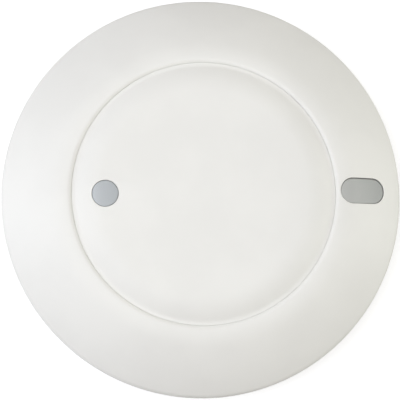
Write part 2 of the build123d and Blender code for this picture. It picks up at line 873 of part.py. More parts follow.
def make_antenna_patches():
    patch = block(patch_length, patch_width, radar_top, radar_top + patch_thickness)
    patches = []
    for i in range(patch_columns):
        for j in range(patch_rows):
            x = (i - (patch_columns - 1) / 2) * patch_pitch * patch_spread_share
            y = (j - (patch_rows - 1) / 2) * patch_pitch + patch_shift_length
            patches.append(Pos(x, y, 0) * patch)
    return Compound(children=patches)


def make_radar_chip():
    chip = block(radar_chip_size, radar_chip_size, radar_top, radar_top + radar_chip_height)
    chip = chamfer(chip.edges().group_by(Axis.Z)[-1], radar_chip_edge_width)
    return Pos(0, -radar_chip_shift_length, 0) * chip


# Parts on the main board


def legs(length, width):
    """Flat legs along two sides of a part of that length, reaching past its width, on the board."""
    count = int(length / leg_pitch / 2) * 2 - 1
    made = []
    for side in (-1, 1):
        for i in range(count):
            x = (i - (count - 1) / 2) * leg_pitch
            place = Pos(x, side * (width / 2 + leg_length / 2 - edge_break_width), 0)
            made.append(place * block(leg_width, leg_length + 2 * edge_break_width, 0, leg_thickness))
    return made


def cased(length, width, height, lift):
    """A moulded case with broken top edges, standing a little off the board."""
    case = block(length, width, lift, height)
    return chamfer(case.edges().group_by(Axis.Z)[-1], edge_break_width)


def hanging(angle, depth, shape):
    """A part of that radial depth under the board's rim, its foot at z = 0 turned up against the board."""
    radius = trough_radius + hanging_gap + depth / 2
    return polar(radius, angle, board_bottom) * Rot(0, 0, angle) * Rot(180, 0, 0) * shape


def make_relay():
    return hanging(relay_angle, relay_depth, cased(relay_depth, relay_length, relay_height, 0))


def make_transformer_core():
    core = block(transformer_depth, transformer_length, 0, transformer_height)
    window_length = transformer_length - 2 * core_leg_width
    window_top = transformer_height - core_leg_width
    window = block(transformer_depth + cut_gap, window_length, core_leg_width, window_top)
    return hanging(transformer_angle, transformer_depth, core - window)


def make_transformer_coil():
    length = transformer_length - 2 * core_leg_width - 2 * fit_gap
    bottom = core_leg_width + fit_gap
    coil = block(transformer_depth - 2 * coil_inset_width, length, bottom, transformer_height - bottom)
    coil = fillet(coil.edges().filter_by(Axis.X), coil_round_radius)
    return hanging(transformer_angle, transformer_depth, coil)


def make_film_capacitor():
    return hanging(film_angle, film_depth, cased(film_depth, film_length, film_height, 0))


def make_varistor():
    disc = Rot(0, 90, 0) * Cylinder(varistor_radius, varistor_thickness)
    disc = fillet(disc.edges().filter_by(GeomType.CIRCLE), varistor_round_radius)
    disc = Pos(0, 0, varistor_radius + leg_thickness) * disc
    foot = block(varistor_thickness / 2, varistor_radius, 0, varistor_radius)
    return hanging(varistor_angle, varistor_thickness, disc + foot)


def make_fuse():
    barrel = Rot(90, 0, 0) * Cylinder(fuse_radius, fuse_length)
    barrel = fillet(barrel.edges().filter_by(GeomType.CIRCLE), edge_break_width)
    foot = block(fuse_radius, fuse_length - 2 * fuse_radius, 0, fuse_radius)
    return hanging(fuse_angle, 2 * fuse_radius, Pos(0, 0, fuse_radius + leg_thickness) * barrel + foot)


def make_mains_capacitor():
    can = Rot(90, 0, 0) * Cylinder(mains_can_radius, mains_can_length)
    can = fillet(can.edges().filter_by(GeomType.CIRCLE), mains_can_round_radius)
    return hanging(mains_can_angle, 2 * mains_can_radius, Pos(0, 0, mains_can_radius) * can)


def make_choke():
    drum = upright(choke_radius, 0, choke_flange_thickness)
    drum += upright(choke_radius, choke_height - choke_flange_thickness, choke_height)
    drum += upright(choke_radius - choke_winding_depth, 0, choke_height)
    return hanging(choke_angle, 2 * choke_radius, drum)


def make_capacitor_cans():
    cans = []
    for shares in can_shares:
        can = upright(can_radius, can_foot_height, can_height)
        can = fillet(can.edges().group_by(Axis.Z)[-1], edge_break_width)
        cans.append(on_board(shares) * can)
    return Compound(children=cans)


def make_capacitor_feet():
    feet = []
    for shares in can_shares:
        foot = block(can_foot_size, can_foot_size, 0, can_foot_height)
        corners = foot.edges().filter_by(Axis.Z).sort_by(Axis.X)[-2:]
        feet.append(on_board(shares) * chamfer(corners, corner_break_width))
    return Compound(children=feet)


def make_coil():
    coil = block(coil_size, coil_size, 0, coil_height)
    coil = chamfer(coil.edges().filter_by(Axis.Z), corner_break_width)
    coil = chamfer(coil.edges().group_by(Axis.Z)[-1], edge_break_width)
    dimple = upright(coil_dome_share * coil_size, coil_height - edge_break_width, coil_height + cut_gap)
    return on_board(coil_shares) * (coil - dimple)


def make_controller():
    chip = cased(controller_size, controller_size, controller_height, leg_thickness / 2)
    for leg in legs(controller_size, controller_size):
        chip += leg
        chip += Rot(0, 0, 90) * leg
    return on_board(controller_shares) * chip


def make_radio_board():
    return on_board(radio_shares) * block(radio_length, radio_width, 0, radio_board_thickness)


def make_radio_can():
    length = radio_length - radio_antenna_length - 2 * radio_can_inset_length
    width = radio_width - 2 * radio_can_inset_length
    top = radio_board_thickness + radio_can_height
    can = block(length, width, radio_board_thickness, top)
    can = fillet(can.edges().group_by(Axis.Z)[-1], edge_break_width)
    return on_board(radio_shares) * Pos(-radio_antenna_length / 2, 0, 0) * can


def make_power_shield():
    can = block(shield_length, shield_width, 0, shield_height)
    return on_board(shield_shares) * fillet(can.edges().group_by(Axis.Z)[-1], edge_break_width)


def make_passives():
    parts = []
    for angle in passive_angles:
        part = block(passive_width, passive_length, board_top, board_top + passive_height)
        parts.append(polar(passive_ring_share * board_radius, angle) * Rot(0, 0, angle) * part)
    return Compound(children=parts)


# Switch, lights and dials


def make_switch_body():
    body = block(switch_size, switch_size, board_top, board_top + switch_height)
    body = chamfer(body.edges().group_by(Axis.Z)[-1], edge_break_width)
    bore_bottom = board_top + switch_height - plunger_depth - key_travel_depth - fit_gap
    bore = upright(plunger_radius + shank_gap, bore_bottom, disc_top)
    return Pos(switch_centre_radius, 0, 0) * (body - bore)


def make_switch_plunger():
    plunger = upright(plunger_radius, board_top + switch_height - plunger_depth, plunger_top)
    return Pos(switch_centre_radius, 0, 0) * plunger


def make_status_lights():
    lights = []
    for side in (-1, 1):
        place = Pos(led_centre_radius, side * led_spread_width, 0)
        lights.append(place * block(led_width, led_length, board_top, board_top + led_height))
    return Compound(children=lights)


def make_trimmers():
    bodies = []
    for angle in dial_angles:
        body = block(trimmer_size, trimmer_size, board_top, trimmer_top)
        body = chamfer(body.edges().filter_by(Axis.Z), edge_break_width)
        body -= upright(dial_shaft_radius + shank_gap, trimmer_top - dial_shaft_length - fit_gap, disc_top)
        bodies.append(polar(dial_ring_radius, angle) * Rot(0, 0, angle) * body)
    return Compound(children=bodies)


def make_dial(angle):
    bottom = trimmer_top + fit_gap
    top = bottom + dial_thickness
    dial = upright(dial_radius, bottom, top)
    dial = chamfer(dial.edges().group_by(Axis.Z)[-1], edge_break_width)
    dial -= block(2 * dial_radius + cut_gap, dial_slot_width, top - dial_slot_depth, top + cut_gap)
    dial += upright(dial_shaft_radius, trimmer_top - dial_shaft_length, bottom)
    return polar(dial_ring_radius, angle) * Rot(0, 0, angle) * dial


# Screws


def screw(shank_radius, shank_length, head_radius, head_height):
    """A pan-head screw with a cross drive, its head standing on z = 0."""
    head = upright(head_radius, 0, head_height)
    head = fillet(head.edges().group_by(Axis.Z)[-1], head_height * drive_depth_share)
    body = head + upright(shank_radius, -shank_length, 0)
    drive_bottom = head_height * (1 - drive_depth_share)
    for turn in (0, 90):
        body -= Rot(0, 0, turn) * block(head_radius, drive_width, drive_bottom, head_height + cut_gap)
    return body


def make_cover_screws():
    one = screw(cover_shank_radius, cover_shank_length, cover_head_radius, cover_head_height)
    seat = cover_boss_top + cover_pocket_floor_thickness
    angles = spread(cover_screw_count, cover_screw_first_angle)
    places = [polar(cover_screw_ring_radius, angle, seat) for angle in angles]
    return Compound(children=[place * one for place in places])


def make_board_screws():
    one = screw(board_shank_radius, board_shank_length, board_head_radius, board_head_height)
    places = [polar(board_screw_ring_radius, angle, board_top) for angle in board_screw_angles]
    return Compound(children=[place * one for place in places])


nodes = {
    "ceiling_plate": make_ceiling_plate,
    "terminal_block": make_terminal_block,
    "clamp_springs": make_clamp_springs,
    "contact_springs": make_contact_springs,
    "head_chassis": make_chassis,
    "contact_rails": make_contact_rails,
    "solder_joints": make_solder_joints,
    "main_board": make_main_board,
    "board_screws": make_board_screws,
    "radar_board": make_radar_board,
    "radar_headers": make_radar_headers,
    "antenna_patches": make_antenna_patches,
    "radar_chip": make_radar_chip,
    "output_relay": make_relay,
    "transformer_core": make_transformer_core,
    "transformer_coil": make_transformer_coil,
    "film_capacitor": make_film_capacitor,
    "surge_varistor": make_varistor,
    "mains_fuse": make_fuse,
    "mains_capacitor": make_mains_capacitor,
    "filter_choke": make_choke,
    "capacitor_cans": make_capacitor_cans,
    "capacitor_feet": make_capacitor_feet,
    "power_coil": make_coil,
    "controller_chip": make_controller,
    "radio_board": make_radio_board,
    "radio_can": make_radio_can,
    "power_shield": make_power_shield,
    "small_parts": make_passives,
    "light_sensor": make_photodiode,
    "light_shroud": make_light_shroud,
    "light_window": make_window,
    "status_lights": make_status_lights,
    "switch_body": make_switch_body,
    "switch_plunger": make_switch_plunger,
    "trimmer_bodies": make_trimmers,
    "front_cover": make_front_cover,
    "cover_screws": make_cover_screws,
    "trim_ring": make_trim_ring,
    "test_key": make_key,
}

os.makedirs("parts", exist_ok=True)
for name, make in nodes.items():
    export_step(make(), f"parts/{name}.step")
for number, x in enumerate(pole_places(), 1):
    export_step(make_release_button(x), f"parts/release_button_{number}.step")
for name, angle in zip(("delay_dial", "light_dial", "range_dial"), dial_angles):
    export_step(make_dial(angle), f"parts/{name}.step")
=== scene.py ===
import bpy
import json
from math import acos, asin, cos, hypot, pi, radians, sin, sqrt
from mathutils import Matrix, Vector


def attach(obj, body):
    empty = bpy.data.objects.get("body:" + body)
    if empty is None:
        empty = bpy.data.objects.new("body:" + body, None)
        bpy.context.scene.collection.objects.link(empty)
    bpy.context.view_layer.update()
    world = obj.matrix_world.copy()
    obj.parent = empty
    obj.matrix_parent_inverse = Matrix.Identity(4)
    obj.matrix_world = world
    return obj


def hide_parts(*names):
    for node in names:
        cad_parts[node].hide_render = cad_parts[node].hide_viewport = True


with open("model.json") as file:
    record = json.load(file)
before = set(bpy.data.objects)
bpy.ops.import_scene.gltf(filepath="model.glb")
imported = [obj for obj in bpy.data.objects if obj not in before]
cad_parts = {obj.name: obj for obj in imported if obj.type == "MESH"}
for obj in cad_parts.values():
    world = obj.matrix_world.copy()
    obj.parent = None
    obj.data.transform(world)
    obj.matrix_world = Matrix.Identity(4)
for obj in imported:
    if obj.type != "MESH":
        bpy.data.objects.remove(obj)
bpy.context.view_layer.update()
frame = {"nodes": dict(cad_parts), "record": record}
mm = 0.001
print("frame loaded")


# Modelling helpers

def deselectAll():
    if bpy.context.object and bpy.context.object.mode != "OBJECT":
        bpy.ops.object.mode_set(mode="OBJECT")
    bpy.ops.object.select_all(action="DESELECT")


def activate(piece):
    deselectAll()
    piece.select_set(True)
    bpy.context.view_layer.objects.active = piece


# Edges of the active piece that pass the test, picked by the places of their two ends
def pickEdges(piece, test):
    bpy.ops.mesh.select_mode(type="EDGE")
    bpy.ops.mesh.select_all(action="DESELECT")
    bpy.ops.object.mode_set(mode="OBJECT")
    points = piece.data.vertices
    for edge in piece.data.edges:
        edge.select = test(points[edge.vertices[0]].co, points[edge.vertices[1]].co)
    bpy.ops.object.mode_set(mode="EDIT")


def pickPoints(piece, test):
    bpy.ops.mesh.select_mode(type="VERT")
    bpy.ops.mesh.select_all(action="DESELECT")
    bpy.ops.object.mode_set(mode="OBJECT")
    for point in piece.data.vertices:
        point.select = test(point.co)
    bpy.ops.object.mode_set(mode="EDIT")


def applyModifiers(piece):
    activate(piece)
    for modifier in list(piece.modifiers):
        bpy.ops.object.modifier_apply(modifier=modifier.name)


def applyPlace(piece):
    activate(piece)
    bpy.ops.object.transform_apply(location=True, rotation=True, scale=True)


def smoothByAngle(piece, degrees=30):
    activate(piece)
    bpy.ops.object.shade_smooth_by_angle(angle=radians(degrees))


# Lets the large flat faces set the shading, so that broken edges don't pull it over them
def steadyShading(piece):
    smoothByAngle(piece, 35)
    modifier = piece.modifiers.new("shading", "WEIGHTED_NORMAL")
    modifier.keep_sharp = True
    modifier.weight = 100
    applyModifiers(piece)


# The finished piece rides on its body, takes its slot's material, and stands for its CAD node
def finishPiece(piece, body, slotName, node):
    applyPlace(piece)
    piece.data.materials.clear()
    piece.data.materials.append(finishes[slotName])
    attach(piece, body)
    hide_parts(node)


# Shares of a whole, from 0 to 1 in equal steps
def sharesOf(steps):
    return [i / steps for i in range(steps + 1)]


# An outline in the XZ plane, in metres, from corners in millimetres, each (radius, height) or
# (radius, height, rounding); a rounded corner becomes an arc
def roundedOutline(*corners, closed=True):
    corners = [tuple(value * mm for value in (*corner, 0)[:3]) for corner in corners]
    fewestSteps = 4
    points = []
    count = len(corners)
    for i, (radius, height, rounding) in enumerate(corners):
        here = Vector((radius, height))
        if rounding == 0 or (not closed and i in (0, count - 1)):
            points.append(here)
            continue
        before = (Vector(corners[i - 1][:2]) - here).normalized()
        after = (Vector(corners[(i + 1) % count][:2]) - here).normalized()
        half = before.angle(after) / 2
        reach = rounding / (sin(half) / cos(half))
        middle = here + (before + after).normalized() * (rounding / sin(half))
        start = here + before * reach - middle
        end = here + after * reach - middle
        for share in sharesOf(fewestSteps + int(rounding / mm)):
            points.append(middle + start.slerp(end, share, start).normalized() * rounding)
    return points


# Turns an outline about Z, as on a potter's wheel, by spinning one chain of points
def turnedPiece(name, outline, steps=256, closed=True):
    weld = 0.002 * mm
    deselectAll()
    bpy.ops.mesh.primitive_plane_add(size=mm)
    piece = bpy.context.object
    piece.name = name
    bpy.ops.object.mode_set(mode="EDIT")
    bpy.ops.mesh.select_mode(type="VERT")
    bpy.ops.mesh.merge(type="CENTER")
    bpy.ops.mesh.select_all(action="SELECT")
    here = outline[0]
    bpy.ops.transform.translate(value=(here[0], 0, here[1]))
    for there in (*outline[1:], outline[0]) if closed else outline[1:]:
        move = (there[0] - here[0], 0, there[1] - here[1])
        bpy.ops.mesh.extrude_vertices_move(TRANSFORM_OT_translate={"value": move})
        here = there
    bpy.ops.mesh.select_all(action="SELECT")
    bpy.ops.mesh.spin(steps=steps, angle=2 * pi, center=(0, 0, 0), axis=(0, 0, 1))
    bpy.ops.mesh.select_all(action="SELECT")
    bpy.ops.mesh.remove_doubles(threshold=weld)
    bpy.ops.mesh.normals_make_consistent(inside=False)
    bpy.ops.object.mode_set(mode="OBJECT")
    return piece


# A round stack of loops, each (radius, height) in millimetres, closed at both ends.
# A half run, in millimetres too, stretches it into an obround along X
def stackedPiece(name, loops, halfRun=0.0, steps=64, runCuts=12):
    deselectAll()
    loops = [(radius * mm, height * mm) for radius, height in loops]
    radius, height = loops[0]
    bpy.ops.mesh.primitive_circle_add(vertices=steps, radius=radius, fill_type="NGON",
                                      location=(0, 0, height), rotation=(0, 0, pi / steps))
    piece = bpy.context.object
    piece.name = name
    applyPlace(piece)
    bpy.ops.object.mode_set(mode="EDIT")
    bpy.ops.mesh.select_mode(type="FACE")
    bpy.ops.mesh.select_all(action="SELECT")
    for nextRadius, nextHeight in loops[1:]:
        bpy.ops.mesh.extrude_region_move(TRANSFORM_OT_translate={"value": (0, 0, nextHeight - height)})
        share = nextRadius / radius
        bpy.ops.transform.resize(value=(share, share, 1), center_override=(0, 0, nextHeight))
        radius, height = nextRadius, nextHeight
    if halfRun:
        for side in (-1, 1):
            pickPoints(piece, lambda co: co.x * side > 0)
            bpy.ops.transform.translate(value=(side * halfRun * mm, 0, 0))
        pickEdges(piece, lambda a, b: abs(a.x - b.x) > halfRun * mm)
        bpy.ops.mesh.subdivide(number_cuts=runCuts)
    bpy.ops.mesh.select_all(action="SELECT")
    bpy.ops.mesh.normals_make_consistent(inside=False)
    bpy.ops.object.mode_set(mode="OBJECT")
    return piece


def cutAway(piece, cutter):
    activate(piece)
    modifier = piece.modifiers.new("cut", "BOOLEAN")
    modifier.operation = "DIFFERENCE"
    modifier.solver = "EXACT"
    modifier.object = cutter
    bpy.ops.object.modifier_apply(modifier=modifier.name)
    bpy.data.objects.remove(cutter, do_unlink=True)


# Moves each point up or down with a surface, whose height over a radius is in millimetres
def followSurface(piece, heightAt):
    for point in piece.data.vertices:
        point.co.z += heightAt(reachOf(point)) * mm


# How far a point lies from the axis, in millimetres
def reachOf(point):
    return hypot(point.co.x, point.co.y) / mm


# Places and sizes of the next two are in millimetres
def movedTo(piece, x, y=0.0):
    piece.location = (x * mm, y * mm, 0)
    applyPlace(piece)
    return piece


def cubePiece(name, size, place, angle=0.0):
    deselectAll()
    bpy.ops.mesh.primitive_cube_add(size=1, location=[v * mm for v in place])
    piece = bpy.context.object
    piece.name = name
    piece.scale = [v * mm for v in size]
    applyPlace(piece)
    piece.rotation_euler.z = radians(angle)
    applyPlace(piece)
    return piece


def joined(piece, *others):
    activate(piece)
    for other in others:
        other.select_set(True)
    bpy.ops.object.join()


# A copy of a CAD node with its loose triangles merged, its flat faces whole and its edges broken
def refinedNode(name, edge):
    refining = {"weld": 0.003 * mm, "flatAngle": radians(0.5), "edgeAngle": radians(30), "segments": 2}
    source = frame["nodes"][name]
    deselectAll()
    piece = bpy.data.objects.new(name + "_finished", source.data.copy())
    bpy.context.collection.objects.link(piece)
    activate(piece)
    bpy.ops.object.mode_set(mode="EDIT")
    bpy.ops.mesh.select_all(action="SELECT")
    bpy.ops.mesh.remove_doubles(threshold=refining["weld"])
    bpy.ops.mesh.dissolve_limited(angle_limit=refining["flatAngle"])
    bpy.ops.object.mode_set(mode="OBJECT")
    if edge:
        bevel = piece.modifiers.new("edges", "BEVEL")
        bevel.width = edge * mm
        bevel.segments = refining["segments"]
        bevel.limit_method = "ANGLE"
        bevel.angle_limit = refining["edgeAngle"]
        applyModifiers(piece)
    steadyShading(piece)
    return piece


# Shader helpers

# A number socket that Python's operators work on
class Level:
    def __init__(self, finish, socket):
        self.finish = finish
        self.socket = socket

    def maths(self, operation, first, second=None):
        return self.finish.add("ShaderNodeMath", {"operation": operation}, first, second)

    def __add__(self, other):
        return self.maths("ADD", self, other)

    def __radd__(self, other):
        return self.maths("ADD", other, self)

    def __sub__(self, other):
        return self.maths("SUBTRACT", self, other)

    def __rsub__(self, other):
        return self.maths("SUBTRACT", other, self)

    def __mul__(self, other):
        return self.maths("MULTIPLY", self, other)

    def __rmul__(self, other):
        return self.maths("MULTIPLY", other, self)


# One material and its nodes. Uniform values are set on the shader itself
class Finish:
    def __init__(self, name, **sockets):
        self.material = bpy.data.materials.new(name)
        self.material.use_nodes = True
        self.tree = self.material.node_tree
        self.shader = self.tree.nodes["Principled BSDF"]
        for socket, value in sockets.items():
            self.shader.inputs[socket.replace("_", " ")].default_value = value
        self.place = self.add("ShaderNodeTexCoord", {}, output="Object").socket

    def add(self, kind, settings, *inputs, output=0, **named):
        node = self.tree.nodes.new(kind)
        for key, value in settings.items():
            setattr(node, key, value)
        for socket, value in (*enumerate(inputs), *named.items()):
            if value is None:
                continue
            target = node.inputs[socket.replace("_", " ") if isinstance(socket, str) else socket]
            source = value.socket if isinstance(value, Level) else value
            if isinstance(source, bpy.types.NodeSocket):
                self.tree.links.new(source, target)
            else:
                target.default_value = source
        return Level(self, node.outputs[output])

    def noise(self, scale, detail=3.0, roughness=0.5, stretch=(1, 1, 1)):
        place = self.add("ShaderNodeMapping", {}, self.place, Scale=stretch)
        values = {"Scale": scale, "Detail": detail, "Roughness": roughness}
        return self.add("ShaderNodeTexNoise", {}, Vector=place, **values)

    def cells(self, scale, metric="EUCLIDEAN", output="Distance"):
        settings = {"distance": metric}
        return self.add("ShaderNodeTexVoronoi", settings, output=output, Vector=self.place, Scale=scale)

    # Another output of the same node
    def other(self, level, output):
        return Level(self, level.socket.node.outputs[output])

    # A value from 0 to 1 as the level passes from low to high
    def step(self, level, low, high, kind="SMOOTHSTEP"):
        return self.add("ShaderNodeMapRange", {"interpolation_type": kind}, level, low, high, 0.0, 1.0)

    def blend(self, share, first, second):
        mix = self.tree.nodes.new("ShaderNodeMix")
        mix.data_type = "RGBA"
        for socket, value in (("Factor", share), ("A", first), ("B", second)):
            target = [s for s in mix.inputs if s.name == socket and s.enabled][0]
            source = value.socket if isinstance(value, Level) else value
            if isinstance(source, bpy.types.NodeSocket):
                self.tree.links.new(source, target)
            else:
                target.default_value = (*source, 1.0) if isinstance(source, tuple) else source
        return Level(self, [s for s in mix.outputs if s.enabled][0])

    def link(self, socket, level):
        self.tree.links.new(level.socket, self.shader.inputs[socket])

    # Bumps stand this high, in metres
    def bump(self, level, height):
        bump = self.add("ShaderNodeBump", {}, Height=level, Distance=height, Strength=1.0, output="Normal")
        self.link("Normal", bump)


# Materials

# Injection-moulded plastic: a spark-eroded grain, a slight cloudiness and uneven gloss.
# A painted shade, (start, end, colour), turns the colour into a darker one along X, in millimetres: shade
# painted onto the side turned from the lamps
def mouldedPlastic(name, colour, roughness=0.45, grain=0.35, grainHeight=0.006, cloud=0.02, paintedShade=None):
    cloudGloss, grainGloss = 0.08, 0.1
    finish = Finish(name, IOR=1.5)
    clouds = finish.noise(scale=45, detail=4)
    speckle = finish.noise(scale=1000 / grain, detail=2, roughness=0.6)
    darker = tuple(channel * (1 - cloud) for channel in colour)
    lighter = tuple(min(channel * (1 + cloud / 2), 1.0) for channel in colour)
    tint = finish.blend(finish.step(clouds, low=0.35, high=0.65), darker, lighter)
    # Painted shade: the colour passes into the darker one along X
    if paintedShade:
        start, end, shadedColour = paintedShade
        along = finish.add("ShaderNodeSeparateXYZ", {}, finish.place)
        tint = finish.blend(finish.step(along, start * mm, end * mm, kind="LINEAR"), tint, shadedColour)
    finish.link("Base Color", tint)
    finish.link("Roughness", roughness + (clouds - 0.5) * cloudGloss + (speckle - 0.5) * grainGloss)
    finish.bump(speckle, grainHeight * mm)
    return finish.material


# Rolled or drawn metal: fine streaks along one axis
def workedMetal(name, colour, roughness=0.3, streaks=(40, 1, 1), tarnish=(0.9, 0.88, 0.86)):
    lineGloss, stainGloss, lineHeight = 0.2, 0.1, 0.004
    finish = Finish(name, Metallic=1.0)
    lines = finish.noise(scale=900, detail=3, roughness=0.6, stretch=streaks)
    stain = finish.noise(scale=260, detail=4)
    dull = tuple(a * b for a, b in zip(colour, tarnish))
    finish.link("Base Color", finish.blend(finish.step(stain, low=0.35, high=0.7), colour, dull))
    finish.link("Roughness", roughness + (lines - 0.5) * lineGloss + (stain - 0.5) * stainGloss)
    finish.bump(lines, lineHeight * mm)
    return finish.material


# Circuit board: solder mask over bundles of parallel tracks, which run along X or Y from patch to patch,
# with small plated holes between them
def circuitBoard(name, mask, track, roughness=0.3, trackPitch=1.0, patchSize=9.0, holePitch=2.6):
    plating, trackTone, weaveGloss, weaveHeight, height = (0.42, 0.40, 0.33), 0.75, 0.15, 0.15, 0.02
    finish = Finish(name, IOR=1.5)
    along = finish.add("ShaderNodeSeparateXYZ", {}, finish.place)
    across = finish.other(along, "Y")
    patches = finish.cells(1 / (patchSize * mm), metric="CHEBYCHEV", output="Color")
    choice = finish.add("ShaderNodeSeparateColor", {}, patches)
    turned = finish.step(choice, low=0.45, high=0.46)
    lane = turned * along + (1 - turned) * across
    halfPitch = trackPitch / 2 * mm
    wave = finish.add("ShaderNodeMath", {"operation": "PINGPONG"}, lane, halfPitch) * (1 / halfPitch)
    laid = finish.step(finish.other(choice, "Green"), low=0.35, high=0.36)
    tracks = finish.step(wave, low=0.55, high=0.65) * laid
    rings = 1 - finish.step(finish.cells(1 / (holePitch * mm)), low=0.12, high=0.15)
    weave = finish.noise(scale=1600, detail=2, roughness=0.6)
    masked = finish.blend(tracks * trackTone, mask, track)
    finish.link("Base Color", finish.blend(rings, masked, plating))
    finish.link("Roughness", roughness + (weave - 0.5) * weaveGloss)
    finish.bump(tracks + rings + weave * weaveHeight, height * mm)
    return finish.material


finishes = {
    "white_shell": mouldedPlastic("matt white shell", (0.80, 0.79, 0.755), 0.5),
    "housing_white": mouldedPlastic("white housing", (0.76, 0.755, 0.73), 0.42, grain=0.5, cloud=0.03),
    # The smoked window and the key grey carry painted shade, darker towards their right sides
    "smoked_window": mouldedPlastic("smoked window", (0.40, 0.422, 0.438), 0.3, grain=0.8, grainHeight=0.003,
                                    cloud=0.03, paintedShade=(-33.0, -26.5, (0.345, 0.366, 0.38))),
    "key_grey": mouldedPlastic("key grey", (0.46, 0.465, 0.447), 0.4, grain=0.6, grainHeight=0.004,
                               cloud=0.03, paintedShade=(43.0, 56.0, (0.296, 0.303, 0.296))),
    "terminal_grey": mouldedPlastic("terminal grey", (0.30, 0.31, 0.32), 0.4),
    "release_orange": mouldedPlastic("release orange", (0.80, 0.22, 0.04), 0.35),
    "spring_steel": workedMetal("spring steel", (0.62, 0.62, 0.60), 0.28),
    "contact_bronze": workedMetal("contact bronze", (0.72, 0.52, 0.33), 0.3, (1, 40, 1)),
    "solder": workedMetal("solder", (0.68, 0.69, 0.70), 0.22, (1, 1, 1)),
    "circuit_board": circuitBoard("green circuit board", (0.02, 0.12, 0.05), (0.05, 0.22, 0.09)),
    "radar_laminate": circuitBoard("radar laminate", (0.03, 0.06, 0.16), (0.05, 0.11, 0.24)),
    "antenna_gold": workedMetal("antenna gold", (0.90, 0.68, 0.32), 0.25, (1, 1, 1)),
    "moulded_black": mouldedPlastic("moulded black", (0.018, 0.018, 0.02), 0.38, cloud=0.2),
    "ferrite": mouldedPlastic("ferrite", (0.055, 0.052, 0.05), 0.6, grain=0.2, grainHeight=0.015, cloud=0.25),
    "winding_tape": mouldedPlastic("winding tape", (0.75, 0.52, 0.08), 0.3, grain=1.2, cloud=0.12),
    "film_case": mouldedPlastic("film capacitor case", (0.70, 0.55, 0.12), 0.35, cloud=0.05),
    "varistor_coat": mouldedPlastic("varistor coat", (0.04, 0.14, 0.42), 0.28, grain=0.6, grainHeight=0.02,
                                    cloud=0.15),
    "fuse_ceramic": mouldedPlastic("fuse ceramic", (0.62, 0.58, 0.50), 0.25, cloud=0.08),
    "capacitor_sleeve": mouldedPlastic("capacitor sleeve", (0.03, 0.035, 0.06), 0.25, grain=1.0, cloud=0.2),
    "can_aluminium": workedMetal("can aluminium", (0.80, 0.81, 0.82), 0.3, (1, 1, 30)),
    "shield_steel": workedMetal("shield steel", (0.70, 0.70, 0.69), 0.32, (30, 1, 1)),
    "screw_steel": workedMetal("zinc screw steel", (0.66, 0.67, 0.68), 0.3, (1, 1, 1)),
    "sensor_clear": mouldedPlastic("clear sensor resin", (0.42, 0.40, 0.36), 0.12, grain=1.5,
                                   grainHeight=0.002, cloud=0.15),
    "switch_grey": mouldedPlastic("switch grey", (0.16, 0.16, 0.17), 0.4),
    "dial_white": mouldedPlastic("dial white", (0.74, 0.73, 0.70), 0.38),
}
print("materials made")


# Surfaces of the front, in millimetres

# The trim ring's section is three arcs that meet without a kink: the crest, the slope and the rim
ring = {
    "lip": 39.98, "lipRound": 1.9, "lipStep": 0.5, "lipSteps": 6, "crestStart": 41.27, "crestHeight": 22.487,
    "crestRound": 14.0, "crestTurn": radians(22), "slopeRound": 60.0, "rimRound": 3.0, "arcSteps": 12,
    "sliver": 0.001, "side": 62.0, "taper": 0.15, "foot": 1.0, "footRound": 0.35, "wall": 2.0,
    "seatRound": 0.15,
}


# A point on an arc, at an angle off the vertical
def arcPoint(centre, reach, turn):
    return centre[0] + reach * sin(turn), centre[1] + reach * cos(turn)


crestCentre = (ring["crestStart"], ring["crestHeight"] - ring["crestRound"])
slopeCentre = arcPoint(crestCentre, ring["crestRound"] - ring["slopeRound"], ring["crestTurn"])
rimStep = ring["slopeRound"] - ring["rimRound"]
rimTurn = asin((ring["side"] - ring["rimRound"] - slopeCentre[0]) / rimStep)
rimCentre = arcPoint(slopeCentre, rimStep, rimTurn)
ringArcs = (
    (crestCentre, ring["crestRound"], ring["crestTurn"]),
    (slopeCentre, ring["slopeRound"], rimTurn),
    (rimCentre, ring["rimRound"], pi / 2),
)


# Height of the ring's outer surface, moved inwards by a depth, at one radius
def ringHeight(radius, depth=0.0):
    if radius <= ring["crestStart"]:
        return ring["crestHeight"] - depth
    for centre, rounding, lastTurn in ringArcs:
        reach = max(rounding - depth, 0.0)
        if radius <= arcPoint(centre, reach, lastTurn)[0]:
            return centre[1] + sqrt(max(reach ** 2 - (radius - centre[0]) ** 2, 0.0))
    return rimCentre[1]


# The same surface as points, from the crest to a last radius
def ringPoints(depth, last, reverse=False):
    points = [arcPoint(crestCentre, ring["crestRound"] - depth, 0.0)]
    turn = 0.0
    for centre, rounding, lastTurn in ringArcs:
        reach = rounding - depth
        if last - points[-1][0] > ring["sliver"] and reach > 0:
            turnThere = min(lastTurn, asin(min((last - centre[0]) / reach, 1.0)))
            step = (turnThere - turn) / ring["arcSteps"]
            for i in range(ring["arcSteps"]):
                turn += step
                points.append(arcPoint(centre, reach, turn))
    return points[::-1] if reverse else points


# The soft lip that rises from the seam to the crest
def lipPoints():
    points = []
    lastTurn = acos(1 - ring["lipStep"] / ring["lipRound"])
    for share in sharesOf(ring["lipSteps"]):
        turn = lastTurn * (1 - share)
        points.append((ring["lip"] + ring["lipRound"] * (sin(lastTurn) - sin(turn)),
                       ring["crestHeight"] - ring["lipRound"] * (1 - cos(turn))))
    return points


# The disc is flat, then falls over a shoulder into the channel before the seam
disc = {
    "flat": 31.0, "top": 24.0, "shoulderRound": 16.08, "shoulderTurn": radians(27), "shoulderSteps": 14,
    "channel": 21.887, "channelCorner": 39.007, "channelRound": 3.304, "seam": 39.95, "seamRound": 0.1,
}
shoulderCentre = (disc["flat"], disc["top"] - disc["shoulderRound"])


def discHeight(radius):
    if radius <= disc["flat"]:
        return disc["top"]
    return shoulderCentre[1] + sqrt(disc["shoulderRound"] ** 2 - (radius - disc["flat"]) ** 2)


